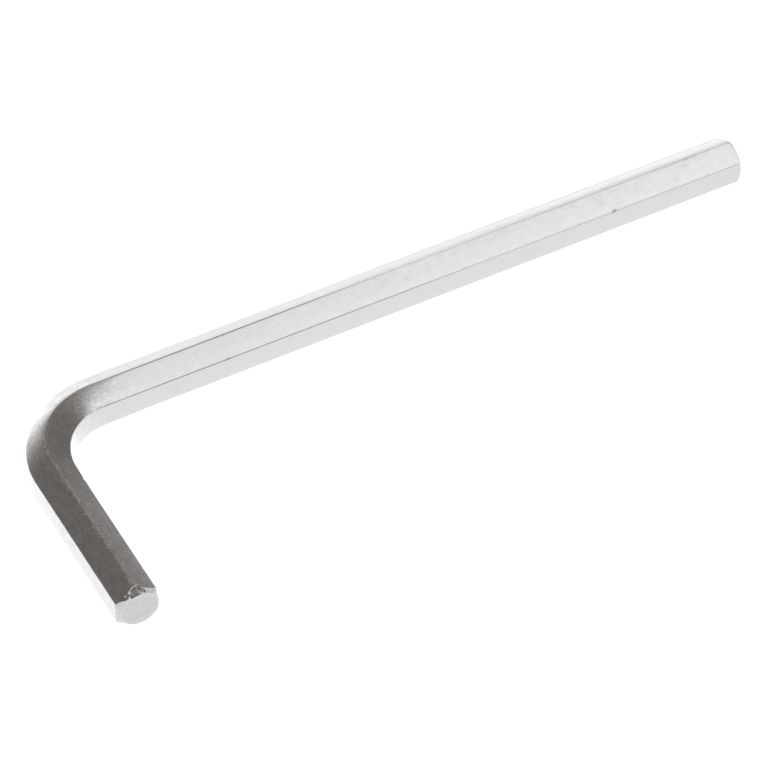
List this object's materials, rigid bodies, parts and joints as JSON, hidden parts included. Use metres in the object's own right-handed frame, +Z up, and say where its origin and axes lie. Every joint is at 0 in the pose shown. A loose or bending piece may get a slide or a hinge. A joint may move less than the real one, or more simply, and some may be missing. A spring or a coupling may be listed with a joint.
{
  "type": "hex key",
  "caption": "L-shaped key bent from bright plated hexagonal steel bar, with a long and a short arm at right angles and chamfered tips.",
  "frame": {"origin": "on the table, under the middle of the key's box, with the key lying as it comes to rest", "axes": "+X along the long arm towards its tip, -Y along the short arm towards its tip, +Z up, square to the plane of the bend"},
  "size_m": [0.075, 0.026, 0.0045],
  "materials": {
    "plated_steel": "bright nickel plating over drawn steel, with faint lengthwise drawing lines and small nicks"
  },
  "bodies": {
    "root": {"hex_key": "plated_steel"}
  },
  "joints": []
}
